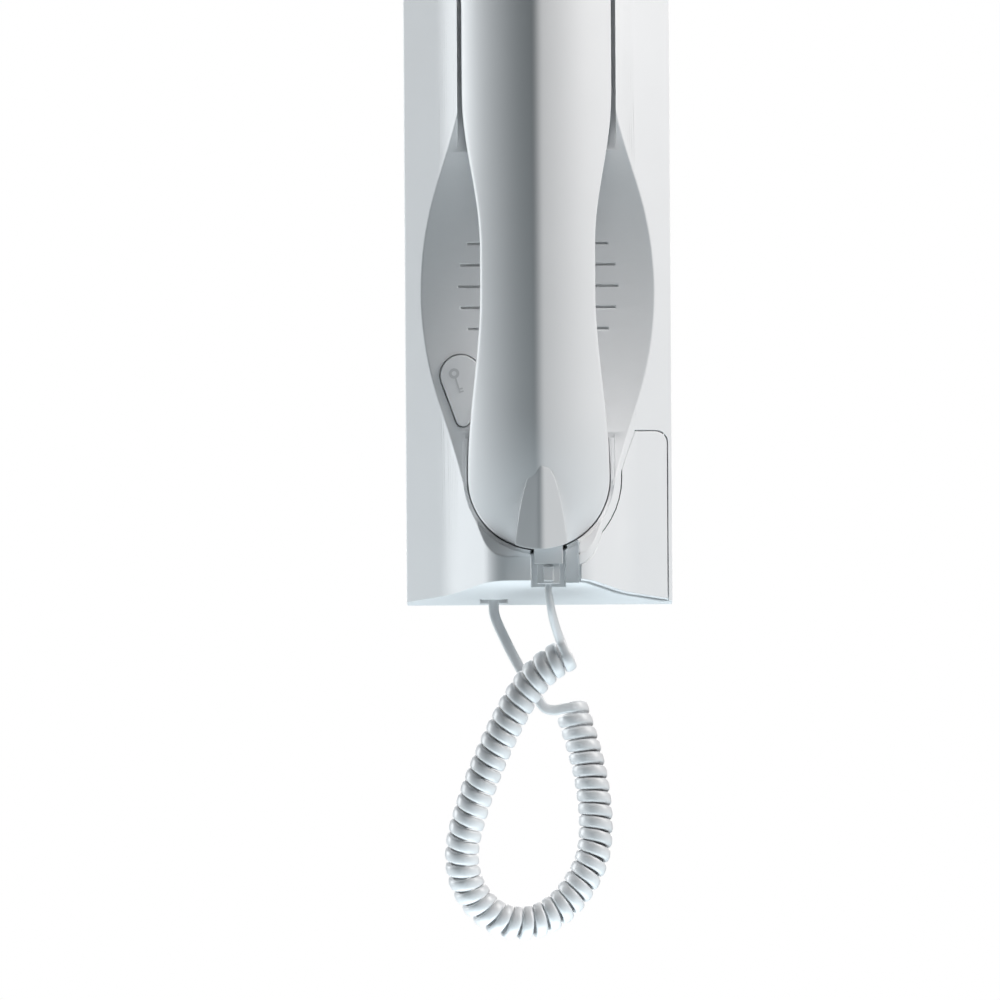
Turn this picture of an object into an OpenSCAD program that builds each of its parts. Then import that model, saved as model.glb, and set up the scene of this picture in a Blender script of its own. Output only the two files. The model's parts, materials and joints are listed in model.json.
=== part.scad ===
// Wall intercom station: a moulded base, a handset in its cradle and a curly cord.
// The modules work in the frame of the wall: x to the right, y upwards, z out of the wall.
// on_wall() turns that frame upright, so that the front of the station faces -Y.

/* [Base] */
// Width of the base
base_w = 90; // [88:1:96]
// Height of the base
base_h = 220; // [218:1:236]
// Thickness of the base at its side edges
edge_t = 6; // [5.5:0.5:7]
// Depth of the crown from the wall
crown_d = 46; // [45:0.5:49]
// Slope of the wings
wing_angle = 42; // [40:1:44]
// Slope of the flanks between the wings and the crown
flank_angle = 63; // [60:1:66]
// Distance from the middle at which a wing turns into a flank
kink_x = 29.5; // [29:0.5:31]
// Rounding between a flank and the crown
crown_r = 10; // [6:1:14]
// Hollow rounding between a wing and a flank
flank_r = 30; // [15:1:40]
// Slope of the underside, which rises towards the front
bottom_slant = 10.7; // [9:0.1:12]
// Wall thickness of the base mouldings
wall = 2.4; // [2:0.1:2.6]
// Thickness of the back plate
plate_t = 2.2; // [2:0.1:2.4]

/* [Cradle] */
// Depth of the cradle floor from the wall
cradle_floor = 20; // [19.5:0.5:21]
// Gap between the handset and the side walls of the cradle
cradle_gap = 1.6; // [1.2:0.1:2.2]
// Gap between the rear of the handset and the cradle floor
rest_gap = 0.8; // [0.6:0.1:1.2]
// Radius of the finger scoop
scoop_r = 131; // [126:1:140]
// Depth of the deepest line of the scoop from the wall
scoop_floor = 11; // [11:0.5:12]
// Height of the deepest line of the scoop
scoop_y = -4; // [-6:1:-2]
// Width of a ringer slot
slot_w = 0.8; // [0.8:0.1:1.4]
// Distance between ringer slots
slot_pitch = 7.2; // [6.5:0.1:7.5]
// Half length of the longest ringer slot
slot_reach = 27; // [24:1:30]

/* [Door button] */
// Radius of the large end of the button
button_r = 6.8; // [6:0.1:7]
// Radius of the small end of the button
button_tip_r = 2.4; // [2:0.1:3]
// Distance between the two ends
button_l = 15; // [14:0.5:16]
// Height of the button over the scoop
button_proud = 0.8; // [0.5:0.1:1.2]
// Travel of the button
button_travel = 1.2; // [0.8:0.1:1.2]
// Gap round the button
button_gap = 0.35; // [0.3:0.05:0.5]

/* [Terminal cover] */
// Height of the cover over the lower edge of the base
cover_h = 59; // [56:1:60]
// Distance from the side of the base to the edge of the cover
cover_rim = 1.3; // [1.2:0.1:2]
// Rounding of the outer top corner of the cover
cover_r = 4; // [2:0.5:6]
// Gap round the cover
cover_gap = 0.3; // [0.25:0.05:0.5]

/* [Handset] */
// Width of the handset at the ear end
ear_w = 50; // [48:0.5:51]
// Width of the grip
grip_w = 38.4; // [36:0.2:41]
// Width of the mouth end
mouth_w = 47.4; // [46:0.2:48]
// Distance from the lower edge of the base to the centre of the round mouth end
mouth_up = 43; // [42:0.5:44]
// Depth of the front of the handset from the wall
handset_d = 56; // [55:0.5:59]
// Radius of the soft ridge along the middle of the front
ridge_r = 8; // [6:0.5:10]
// Half angle of the soft ridge
ridge_angle = 15; // [13:1:17]
// Radius of the front on both sides of the ridge
front_r = 39; // [38:0.5:42]
// Radius of the bend of the front towards the mouth end
bend_r = 111; // [105:1:130]
// Distance from the centre of the mouth end to the beginning of the bend
bend_up = 22; // [20:1:24]
// Distance from the top of the base to the top edge at the front
top_inset = 15.5; // [14:0.5:18]
// Slope of the top face
top_slant = 16.7; // [12:0.1:18]
// Wall thickness of the handset shells
shell = 2.2; // [1.8:0.1:2.4]
// Depth of the joint between the two shells
parting_d = 36; // [35.6:0.1:36]
// Radius of the hollow behind the grip
hollow_r = 89; // [86:1:96]
// Depth of the back of the grip at its middle
grip_back = 31.3; // [30.5:0.1:32]
// Radius of the nose below the grip
nose_r = 8.8; // [8.5:0.1:9.5]
// Depth of the front of the nose
nose_d = 54.5; // [54:0.1:55]

/* [Inner parts] */
// Radius of the ringer
ringer_r = 19; // [17:0.5:19]
// Radius of the ear capsule
ear_r = 17.5; // [15:0.5:17.5]
// Radius of the microphone capsule
mic_r = 4.85; // [4:0.05:5]
// Thickness of the circuit board
board_t = 1.6; // [1.2:0.1:1.6]
// Width of the hook lever
hook_w = 6; // [5:0.5:7]
// Radius of the hook pin
pin_r = 1.2; // [1:0.1:1.3]
// Swing of the hook lever
hook_swing = 10; // [6:1:10]

/* [Mounting] */
// Distance between the wall screws
screw_pitch = 60; // [56:0.5:60]
// Radius of the wall screw holes
screw_hole_r = 2.25; // [2:0.05:2.6]
// Width of the cable window
window_w = 32; // [20:1:36]
// Height of the cable window
window_h = 30; // [20:1:34]

/* [Cord] */
// Diameter of the cord
cord_d = 2.8; // [2.4:0.1:2.9]
// Radius of the curls at the middle of the cord
curl_r = 4.6; // [4:0.1:5]
// Number of curls
curls = 45; // [38:1:46]

/* [Hidden] */
$fn = 64;

// Longer than any piece, for cuts that run out of the part
reach = 300;
// Overlap of features that belong to one moulding
bite = 0.5;
// Play between pieces that are seated in each other
play = 0.2;
// Clearance of moving pieces
run = 0.4;
// Number of straight steps in a rounded corner and in a round end
corner_steps = 10;
arc_steps = 24;

base_top = base_h / 2;
base_bottom = -base_h / 2;
rear_d = cradle_floor + rest_gap;
cover_top = base_bottom + cover_h;
mouth_y = base_bottom + mouth_up;
bend_y = mouth_y + bend_up;
handset_top = base_top - top_inset;

// Radial play of a pin that is pressed in and of one that turns
press_play = 0.02;
turn_play = 0.06;

// Heights between which the handset narrows to its grip and widens again
ear_y = handset_top - 32.5;
grip_top_y = 10;
grip_low_y = -4;
grip_y = 1;
nose_x = 0.7;
nose_top_y = mouth_y + 9;

// Plug notch in the lip below the cradle, with a shallow step on its right
plug_x = 3;
plug_d = 41;
notch_left = plug_x - 5.7;
notch_right = plug_x + 5.7;
notch_floor = 33;
step_right = 13.2;
step_floor = 41;

// Modular plugs and jacks
plug_w = 7.6;
plug_t = 6.4;
jack_w = 9.6;
jack_t = 9.3;
jack_wall_play = 0.2;
latch_w = 3.2;
latch_t = 0.8;
handset_jack_low = mouth_y - 28.5;
handset_jack_top = mouth_y - 11;
handset_plug_low = mouth_y - 35.3;
handset_plug_top = mouth_y - 17;
plug_slot_gap = 0.8;
base_jack_x = -15.5;
base_jack_low = base_bottom + 5;
base_jack_top = base_bottom + 18;
base_plug_low = base_bottom + 2;
base_plug_top = base_bottom + 15;
base_plug_d = plate_t + 4.1;

// Door button
button_x = -(base_w / 2 - 18.8);
button_y = -32;
button_lean = -87;
flange_w = 1.2;
flange_t = 1.2;
stem_r = 2;
stem_y = button_y - 3;

// Circuit board, its posts and the parts on it
board_back = plate_t + 1.2;
board_front = board_back + board_t;
board_w = base_w - 24;
board_low = base_bottom + 19;
board_top = scoop_y - ringer_r - 3;
post_r = 3;
post_top = board_top - 3.5;
post_low = board_low + 5;
terminal_x = base_w / 2 - 20;
posts = [[-16, post_top], [16, post_top], [4 - board_w / 2, post_low], [terminal_x - 9, post_low]];
screw_r = 1.25;
screw_head_r = 2.3;
screw_head_h = 1.5;
switch_body = 2.5;
switch_top = 3.1;
chip_size = [10, 8, 1.8];
chip_x = -8;
filter_size = [6, 10, 2.4];
filter_x = -21;
filter_up = 36;
relay_size = [8, 12, 6];
relay_x = terminal_x - 9;
relay_up = 22;
can_x = 10;
can_down = 19;
large_can_r = 4;
large_can_h = 7;
small_can_r = 3.2;
small_can_h = 6;

// Terminal block under the cover
terminal_w = 9;
terminal_low = board_low + 5;
terminal_pitch = 5.2;
terminals = 5;
terminal_h = 7;
terminal_well = 4;
terminal_screw_x = terminal_x + 3.5;
terminal_screw_r = 1.6;
terminal_screw_h = 2;
wire_r = 1.2;
wire_d = board_front + 1.8;
wire_l = 6;

// Screw that holds the housing on the back plate, under the cover
cover_ledge = edge_t - 2;
tab_x = base_w / 2 - 6.5;
tab_y = mouth_y - 6;
tab_back = plate_t + 0.4;
tab_t = cover_ledge - tab_back - play;
tab_h = 10;
tab_half = 3;
housing_screw_r = 1.4;
housing_head_r = 2.7;

// Ringer behind the slots
ringer_rim = 7.6;
ringer_pad = 0.7;
ringer_seat = 6.6;
ringer_wall = 1.5;
ringer_ledge = 0.9;
ringer_border = 2.8;
magnet_r = 9;
magnet_h = 2.4;
cone_drop = 1.4;

// Hook lever in the cradle floor
hook_y = mouth_y - 7;
hook_d = 11;
hook_boss_r = 3;
hook_reach = 22;
hook_nose = 5;
hook_proud = 0.2;
hook_chamfer = 0.8;
arm_t = 3;
ear_t = 2.5;
arm_back = hook_d - arm_t / 2 - play;

// Capsules in the handset
ear_capsule_y = handset_top - 22.5;
ear_capsule_t = 7;
ear_pad_t = 1;
ear_border = 3.5;
mic_y = mouth_y - 5;
mic_t = 6.5;
boot_wall = 1.6;
boot_floor = 1.5;
mic_port_r = 2;
inner_floor = rear_d + shell;
screw_ys = [grip_y + 35, grip_y - 35];
boss_r = 5;
pillar_r = 3.5;
handset_screw_r = 1.4;
handset_head_r = 2.6;
handset_head_d = 28.2;
handset_screw_end = 43;

// Route of the middle of the curly part of the cord, from the handset to the base
coil_route = [
    [9, -126, 30], [2, -130.5, 29.5], [-4.5, -137.5, 28.5], [-11, -148.5, 27.5], [-17.5, -162.5, 26],
    [-23, -177, 24], [-26.5, -191, 22], [-25.5, -202, 20.5], [-20.5, -210.5, 19], [-12.5, -216, 18],
    [-3, -216.5, 17], [6, -212, 16], [13, -204, 15], [17.5, -194, 14], [18.5, -182, 12.5],
    [17, -168.5, 11], [14, -156, 9.5], [10.5, -145, 8]
];
// Points of the straight ends of the cord, from the plug and to the plug
handset_tail_route = [
    [plug_x, handset_plug_low, plug_d], [plug_x, -105.5, plug_d], [3.8, -110.5, 40], [4.9, -115.5, 37.5]
];
base_tail_route = [
    [1.5, -144.5, 12.5], [-1, -141, 12], [-4.5, -135, 11], [-8.5, -128, 9.5], [-12, -121, 8],
    [-14.5, -115.5, 7], [base_jack_x, -112, base_plug_d], [base_jack_x, base_plug_low, base_plug_d]
];
coil_steps = 8;
coil_sides = 6;
tail_sides = 8;
spline_steps = 12;

// Frames and simple solids

module on_wall() {
    rotate([90, 0, 0])
        children();
}

// An outline drawn as (x, depth) and run along the height
module upright(top, h) {
    translate([0, top, 0])
        rotate([90, 0, 0])
            linear_extrude(h)
                children();
}

// An outline drawn as (depth, height) and run along x
module across(w, x = 0) {
    translate([x, 0, 0])
        rotate([0, -90, 0])
            linear_extrude(w, center = true)
                children();
}

module cross_bar(r, w, y, d, x = 0) {
    translate([x, y, d])
        rotate([0, 90, 0])
            cylinder(r = r, h = w, center = true);
}

module block(x0, x1, y0, y1, d0, d1) {
    translate([x0, y0, d0])
        cube([x1 - x0, y1 - y0, d1 - d0]);
}

module disc(r, x, y, d0, d1) {
    translate([x, y, d0])
        cylinder(r = r, h = d1 - d0);
}

module tube(r_out, r_in, x, y, d0, d1) {
    difference() {
        disc(r_out, x, y, d0, d1);
        disc(r_in, x, y, d0 - 1, d1 + 1);
    }
}

// Outlines

function unit(v) = v / norm(v);
function side(p, q) = p.x * q.y - p.y * q.x;
function meet(p, u, q, v) = p + u * side(q - p, v) / side(u, v);
function arc(c, r, a0, a1, n) = [for (i = [0:n]) let (a = a0 + (a1 - a0) * i / n) c + r * [cos(a), sin(a)]];

// A corner b between a and c, rounded with radius r
function round_corner(a, b, c, r) =
    let (
        u = unit(a - b),
        v = unit(c - b),
        half = acos(u * v) / 2,
        mid = b + unit(u + v) * r / sin(half),
        s = b + u * r / tan(half) - mid,
        a0 = atan2(s.y, s.x),
        turn = (180 - 2 * half) * sign(side(b - a, c - b))
    )
    arc(mid, r, a0, a0 + turn, corner_steps);

// Right half of the section of the base, moved inwards by o
function base_half(o, back) =
    let (
        wing_dir = [-cos(wing_angle), sin(wing_angle)],
        flank_dir = [-cos(flank_angle), sin(flank_angle)],
        edge = [base_w / 2, edge_t] - o * [sin(wing_angle), cos(wing_angle)],
        kink = [kink_x, edge_t + (base_w / 2 - kink_x) * tan(wing_angle)]
            - o * [sin(flank_angle), cos(flank_angle)],
        shoulder = meet([base_w / 2 - o, 0], [0, 1], edge, wing_dir),
        valley = meet(edge, wing_dir, kink, flank_dir),
        crest = meet(kink, flank_dir, [0, crown_d - o], [1, 0])
    )
    concat(
        [[base_w / 2 - o, back], shoulder],
        round_corner(shoulder, valley, crest, flank_r + o),
        round_corner(valley, crest, [0, crown_d - o], crown_r - o)
    );

function mirrored(half) = concat(half, [for (i = [len(half) - 1:-1:0]) [-half[i].x, half[i].y]]);

// Cradle seen from the front, g larger than the handset
function cradle_outline(g) = concat(
    [[ear_w / 2 + g, base_h], [ear_w / 2 + g, 0], [mouth_w / 2 + g, 0]],
    arc([0, mouth_y], mouth_w / 2 + g, 0, -180, arc_steps),
    [[-mouth_w / 2 - g, 0], [-ear_w / 2 - g, 0], [-ear_w / 2 - g, base_h]]
);

// Half width of the handset at height y
function ease(t) = (1 - cos(180 * t)) / 2;
function handset_half(y) =
    y > ear_y ? ear_w / 2
    : y > grip_top_y ? (grip_w + (ear_w - grip_w) * ease((y - grip_top_y) / (ear_y - grip_top_y))) / 2
    : y > grip_low_y ? grip_w / 2
    : (grip_w + (mouth_w - grip_w) * ease((grip_low_y - y) / (grip_low_y - mouth_y))) / 2;

outline_step = 1 / 10;
function handset_side(o) = concat(
    [[ear_w / 2 - o, base_h]],
    [for (t = [0:outline_step:1]) let (y = ear_y + (grip_top_y - ear_y) * t) [handset_half(y) - o, y]],
    [for (t = [0:outline_step:1]) let (y = grip_low_y + (mouth_y - grip_low_y) * t) [handset_half(y) - o, y]],
    arc([0, mouth_y], mouth_w / 2 - o, -90 / arc_steps * 2, -90 + 90 / arc_steps * 2, arc_steps / 2 - 2)
);

ridge_steps = 3;
front_steps = 8;
front_reach = 75;
// Front of the handset across, from its ridge at height 0, moved inwards by o
function front_profile(o) =
    let (
        ridge = [0, -ridge_r],
        flank = ridge - (front_r - ridge_r) * [sin(ridge_angle), cos(ridge_angle)],
        side = arc(flank, front_r - o, 90 - front_reach, 90 - ridge_angle, front_steps)
    )
    mirrored(concat(
        [[side[0].x, -handset_d]],
        side,
        [for (i = [1:ridge_steps - 1]) let (a = ridge_angle * (1 - i / ridge_steps))
            ridge + (ridge_r - o) * [sin(a), cos(a)]],
        [[0, -o]]
    ));

// Teardrop of the door button, g larger all round
function teardrop(g) =
    let (
        c = [button_x, button_y],
        tip = c + button_l * [cos(button_lean), sin(button_lean)],
        a = acos((button_r - button_tip_r) / button_l)
    )
    concat(
        arc(c, button_r + g, button_lean + a, button_lean + 360 - a, arc_steps),
        arc(tip, button_tip_r + g, button_lean - a, button_lean + a, corner_steps)
    );

function cover_outline(g, lip) =
    let (right = base_w / 2 - cover_rim - g, top = cover_top - g, left = step_right + lip)
    concat(
        [[left, -base_h], [right, -base_h]],
        round_corner([right, -base_h], [right, top], [left, top], cover_r),
        [[left, top]]
    );

// Depth of the scoop at height y, o behind its surface
function scoop_depth(y, o) = scoop_floor + scoop_r - sqrt(pow(scoop_r + o, 2) - pow(y - scoop_y, 2));

// Forms of the base

module underside(o) {
    translate([0, base_bottom, 0])
        rotate([-bottom_slant, 0, 0])
            translate([-base_w, -reach, -reach])
                cube([2 * base_w, reach + o, 2 * reach]);
}

module base_bar(o, back) {
    upright(base_top - o, base_h + crown_d)
        polygon(mirrored(base_half(o, back)));
}

module base_body(o, back) {
    difference() {
        base_bar(o, back);
        underside(o);
    }
}

module scoop(o) {
    cross_bar(scoop_r + o, 2 * base_w, scoop_y, scoop_floor + scoop_r);
}

module cradle(o) {
    translate([0, 0, cradle_floor - o])
        linear_extrude(reach)
            polygon(cradle_outline(cradle_gap + o));
}

module plug_notch(o) {
    block(notch_left - o, notch_right + o, -base_h, mouth_y, notch_floor - o, reach);
    block(notch_left - o, step_right + o, -base_h, mouth_y, step_floor - o, reach);
}

module base_form(o, back) {
    difference() {
        base_body(o, back);
        scoop(o);
        cradle(o);
        plug_notch(o);
    }
}

// Space of the terminal cover in the base, down to a depth below the skin,
// g smaller all round and lip smaller at the plug notch and the underside
module cover_space(g, lip, depth) {
    difference() {
        translate([0, 0, cover_ledge + g])
            linear_extrude(reach)
                polygon(cover_outline(g, lip));
        base_bar(depth, -1);
        underside(lip);
        scoop(wall + g);
        cradle(wall + g);
    }
}

module ringer_slots() {
    half_count = 3;
    rib = 3;
    for (k = [-half_count:half_count]) {
        length = slot_reach * sqrt(1 - pow(k / (half_count + 1.2), 2));
        for (s = [-1, 1])
            block(min(s * rib, s * length), max(s * rib, s * length),
                scoop_y + 2 + k * slot_pitch - slot_w / 2, scoop_y + 2 + k * slot_pitch + slot_w / 2,
                plate_t, cradle_floor);
    }
}

// Slot for the nose of the hook lever, long enough for its swing
module hook_slot() {
    drop = (cradle_floor - hook_d) * sin(hook_swing);
    block(-hook_w / 2 - run, hook_w / 2 + run,
        hook_y + (hook_reach - hook_nose) * cos(hook_swing) - drop - run, hook_y + hook_reach + run,
        hook_d + arm_t / 2 + run, cradle_floor + bite);
}

module hook_ears() {
    for (s = [-1, 1])
        difference() {
            across(ear_t, s * (hook_w / 2 + run + ear_t / 2))
                polygon([
                    [hook_d - hook_boss_r, hook_y - hook_boss_r],
                    [cradle_floor - wall + bite, hook_y - hook_boss_r],
                    [cradle_floor - wall + bite, hook_y + hook_boss_r],
                    [hook_d - hook_boss_r, hook_y + hook_boss_r]
                ]);
            cross_bar(pin_r + press_play, base_w, hook_y, hook_d);
        }
}

module screw_tab() {
    difference() {
        block(tab_x - tab_half, base_w / 2 - wall + bite, tab_y - tab_h / 2, tab_y + tab_h / 2,
            tab_back, tab_back + tab_t);
        disc(housing_screw_r + play, tab_x, tab_y, 0, cradle_floor);
    }
}

// Pieces of the base

module back_plate() {
    rim_gap = 0.3;
    half_w = base_w / 2 - wall - rim_gap;
    low = base_bottom + wall + 0.8;
    high = base_top - wall - rim_gap;
    window_y = base_top - 55;
    color("gainsboro")
        on_wall()
            difference() {
                union() {
                    block(-half_w, half_w, low, high, 0, plate_t);
                    for (p = posts)
                        disc(post_r, p.x, p.y, plate_t - bite, board_back);
                    disc(post_r, tab_x, tab_y, plate_t - bite, tab_back);
                    tube(ringer_r + ringer_wall, ringer_r - ringer_ledge, 0, scoop_y,
                        plate_t - bite, ringer_seat);
                }
                for (s = [-1, 1])
                    disc(screw_hole_r, 0, window_y + s * screw_pitch / 2, -1, plate_t + 1);
                block(-window_w / 2, window_w / 2, window_y - window_h / 2, window_y + window_h / 2,
                    -1, plate_t + 1);
                for (p = posts)
                    disc(screw_r + press_play, p.x, p.y, plate_t / 3, board_back + 1);
                disc(housing_screw_r + press_play, tab_x, tab_y, plate_t / 3, tab_back + 1);
            }
}

// Slot in the underside for the plug of the cord
module plug_slot() {
    half = plug_w / 2 + plug_slot_gap;
    block(base_jack_x - half, base_jack_x + half, -base_h, base_jack_low + wall,
        base_plug_d - plug_t / 2 - plug_slot_gap, base_plug_d + plug_t / 2 + latch_t + plug_slot_gap);
}

module front_housing() {
    color("whitesmoke")
        on_wall() {
            difference() {
                base_form(0, 0);
                base_form(wall, -1);
                cover_space(0, -bite, wall + bite);
                ringer_slots();
                hook_slot();
                linear_extrude(cradle_floor + 2)
                    polygon(teardrop(button_gap));
                plug_slot();
            }
            hook_ears();
            screw_tab();
        }
}

module terminal_cover() {
    color("white")
        on_wall()
            intersection() {
                base_body(0, 0);
                cover_space(cover_gap, 2 * cover_gap, wall - cover_gap);
            }
}

module door_button() {
    stem_end = board_front + switch_top + button_travel + play;
    color("white")
        on_wall() {
            difference() {
                intersection() {
                    linear_extrude(cradle_floor + button_proud)
                        polygon(teardrop(0));
                    scoop(wall + run + flange_t);
                }
                scoop(-button_proud);
            }
            difference() {
                intersection() {
                    linear_extrude(cradle_floor)
                        polygon(teardrop(flange_w));
                    scoop(wall + run + flange_t);
                }
                scoop(wall + run);
            }
            disc(stem_r, button_x, stem_y, stem_end, scoop_depth(stem_y, wall + run + flange_t / 2));
        }
}

module door_switch() {
    half = 3;
    plunger_r = 1.7;
    color("dimgray")
        on_wall() {
            block(button_x - half, button_x + half, stem_y - half, stem_y + half,
                board_front, board_front + switch_body);
            disc(plunger_r, button_x, stem_y, board_front + switch_body - bite, board_front + switch_top);
        }
}

module main_board() {
    color("seagreen")
        on_wall()
            difference() {
                block(-board_w / 2, board_w / 2, board_low, board_top, board_back, board_front);
                for (p = posts)
                    disc(screw_r + play, p.x, p.y, 0, cradle_floor);
            }
}

// A box-shaped part on the board, with the middle of its foot at (x, y)
module on_board(size, x, y) {
    translate([x - size.x / 2, y - size.y / 2, board_front])
        cube(size);
}

module board_components() {
    can_y = board_top - can_down;
    color("black")
        on_wall() {
            on_board(chip_size, chip_x, can_y);
            on_board(filter_size, filter_x, board_low + filter_up);
            on_board(relay_size, relay_x, board_low + relay_up);
            disc(large_can_r, can_x, can_y, board_front, board_front + large_can_h);
            disc(small_can_r, can_x + large_can_r + 2 * small_can_r, can_y,
                board_front, board_front + small_can_h);
        }
}

module board_screws() {
    color("silver")
        on_wall()
            for (p = posts) {
                disc(screw_r, p.x, p.y, plate_t / 2, board_front + bite);
                disc(screw_head_r, p.x, p.y, board_front, board_front + screw_head_h);
            }
}

module terminal_block() {
    x1 = terminal_x + terminal_w;
    color("darkseagreen")
        on_wall()
            difference() {
                block(terminal_x, x1, terminal_low, terminal_low + terminals * terminal_pitch,
                    board_front, board_front + terminal_h);
                for (k = [0:terminals - 1]) {
                    y = terminal_low + (k + 0.5) * terminal_pitch;
                    disc(terminal_screw_r + play, terminal_screw_x, y,
                        board_front + terminal_h - terminal_well, board_front + terminal_h + 1);
                    cross_bar(wire_r, wire_l, y, wire_d, x1);
                }
            }
}

module terminal_screws() {
    base = board_front + terminal_h - terminal_well;
    color("silver")
        on_wall()
            for (k = [0:terminals - 1])
                disc(terminal_screw_r, terminal_screw_x, terminal_low + (k + 0.5) * terminal_pitch,
                    base, base + terminal_screw_h);
}

module housing_screw() {
    color("silver")
        on_wall() {
            disc(housing_screw_r, tab_x, tab_y, plate_t / 2, tab_back + tab_t + bite);
            disc(housing_head_r, tab_x, tab_y, tab_back + tab_t, tab_back + tab_t + screw_head_h);
        }
}

module ringer_speaker() {
    dome_r = magnet_r - 1;
    color("dimgray")
        on_wall()
            translate([0, scoop_y, 0])
                rotate_extrude()
                    polygon([
                        [0, plate_t], [magnet_r, plate_t], [magnet_r, plate_t + magnet_h],
                        [ringer_r - ringer_ledge, ringer_seat], [ringer_r, ringer_seat],
                        [ringer_r, ringer_rim], [ringer_r - ringer_border, ringer_rim],
                        [dome_r, ringer_rim - cone_drop], [0, ringer_rim - cone_drop]
                    ]);
}

module ringer_gasket() {
    color("black")
        on_wall()
            tube(ringer_r, ringer_r - ringer_border, 0, scoop_y, ringer_rim, ringer_rim + ringer_pad);
}

module hook_lever() {
    nose_low = hook_y + hook_reach - hook_nose;
    nose_high = hook_y + hook_reach;
    tip = cradle_floor + hook_proud;
    color("lightgray")
        on_wall()
            difference() {
                union() {
                    cross_bar(hook_boss_r, hook_w, hook_y, hook_d);
                    across(hook_w)
                        polygon([
                            [hook_d - arm_t / 2, hook_y], [hook_d + arm_t / 2, hook_y],
                            [hook_d + arm_t / 2, nose_low],
                            [tip - hook_chamfer, nose_low],
                            [tip, nose_low + hook_chamfer],
                            [tip, nose_high - hook_chamfer],
                            [tip - hook_chamfer, nose_high],
                            [hook_d - arm_t / 2, nose_high]
                        ]);
                }
                cross_bar(pin_r + turn_play, base_w, hook_y, hook_d);
            }
}

module hook_pin() {
    color("silver")
        on_wall()
            cross_bar(pin_r, hook_w + 2 * run + 2 * ear_t, hook_y, hook_d);
}

// Leaf spring from the board to the back of the lever
module hook_spring() {
    leaf_t = 0.4;
    leaf_w = 4;
    foot = board_low + 1;
    bend = hook_y - 7;
    tip = hook_y + 7;
    color("silver")
        on_wall()
            across(leaf_w)
                polygon([
                    [board_front, foot], [board_front + leaf_t, foot], [board_front + leaf_t, bend],
                    [arm_back, tip], [arm_back - leaf_t, tip], [board_front, bend + leaf_t]
                ]);
}

module hook_switch() {
    half_w = 3;
    half_l = 4;
    body_h = 3.4;
    key_w = 1;
    key_l = 1.5;
    y = hook_y + 14;
    color("black")
        on_wall() {
            block(-half_w, half_w, y - half_l, y + half_l, board_front, board_front + body_h);
            block(-key_w, key_w, y - key_l, y + key_l, board_front + body_h - bite, arm_back);
        }
}

module modular_jack(x, d, low, high, cavity) {
    difference() {
        block(x - jack_w / 2, x + jack_w / 2, low, high, d - jack_t / 2, d + jack_t / 2);
        block(x - plug_w / 2 - jack_wall_play, x + plug_w / 2 + jack_wall_play, low - 1, low + cavity,
            d - plug_t / 2 - jack_wall_play, d + plug_t / 2 + jack_wall_play);
    }
}

module base_jack() {
    color("dimgray")
        on_wall()
            difference() {
                modular_jack(base_jack_x, base_plug_d, base_jack_low, base_jack_top,
                    base_plug_top - base_jack_low + play);
                block(-base_w, base_w, -base_h, base_h, -reach, plate_t);
            }
}

module modular_plug(x, d, low, high, latch) {
    block(x - plug_w / 2, x + plug_w / 2, low, high, d - plug_t / 2, d + plug_t / 2);
    block(x - latch_w / 2, x + latch_w / 2, low + 1, low + 1 + latch,
        d + plug_t / 2 - bite, d + plug_t / 2 + latch_t);
}

module base_plug() {
    color("white")
        on_wall()
            modular_plug(base_jack_x, base_plug_d, base_plug_low, base_plug_top, 1);
}

// Forms of the handset

module handset_outline(o) {
    translate([0, 0, rear_d + o])
        linear_extrude(reach)
            polygon(mirrored(handset_side(o)));
}

// Top face, which slopes down towards the front
module above_top(o) {
    translate([0, handset_top, handset_d])
        rotate([top_slant, 0, 0])
            translate([-base_w, -o, -reach])
                cube([2 * base_w, reach, 2 * reach]);
}

module handset_form(o) {
    difference() {
        union() {
            intersection() {
                handset_outline(o);
                translate([0, bend_y, handset_d])
                    mirror([0, 1, 0])
                        rotate([90, 0, 0])
                            linear_extrude(base_h)
                                polygon(front_profile(o));
            }
            intersection() {
                handset_outline(o);
                translate([0, bend_y, handset_d - bend_r])
                    rotate([0, 90, 0])
                        rotate_extrude($fn = 128)
                            polygon([for (p = front_profile(o)) [bend_r + p.y, p.x]]);
                translate([-base_w, bend_y, 0])
                    mirror([0, 1, 0])
                        cube([2 * base_w, base_h, reach]);
            }
            intersection() {
                handset_outline(o);
                translate([nose_x, nose_top_y, nose_d - nose_r])
                    rotate([90, 0, 0])
                        cylinder(r = nose_r - o, h = base_h);
            }
        }
        above_top(o);
        cross_bar(hollow_r + o, base_w, grip_y, grip_back - hollow_r);
    }
}

module jack_hole() {
    block(plug_x - jack_w / 2 - play, plug_x + jack_w / 2 + play, -base_h, handset_jack_top + play,
        plug_d - jack_t / 2 - play, plug_d + jack_t / 2 + play);
}

module handset_front() {
    color("whitesmoke")
        on_wall()
            difference() {
                union() {
                    difference() {
                        handset_form(0);
                        handset_form(shell);
                    }
                    for (y = screw_ys)
                        disc(pillar_r, 0, y, parting_d, handset_d - shell / 2);
                }
                block(-base_w, base_w, -base_h, base_h, 0, parting_d);
                for (y = screw_ys)
                    disc(handset_screw_r + press_play, 0, y, parting_d - 1, handset_screw_end + 2);
                jack_hole();
            }
}

module sound_holes(y, rings, step, r) {
    disc(r, 0, y, rear_d - 1, inner_floor + 1);
    for (k = [1:rings])
        for (i = [0:6 * k - 1])
            translate(k * step * [cos(60 * i / k), sin(60 * i / k)])
                disc(r, 0, y, rear_d - 1, inner_floor + 1);
}

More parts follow.
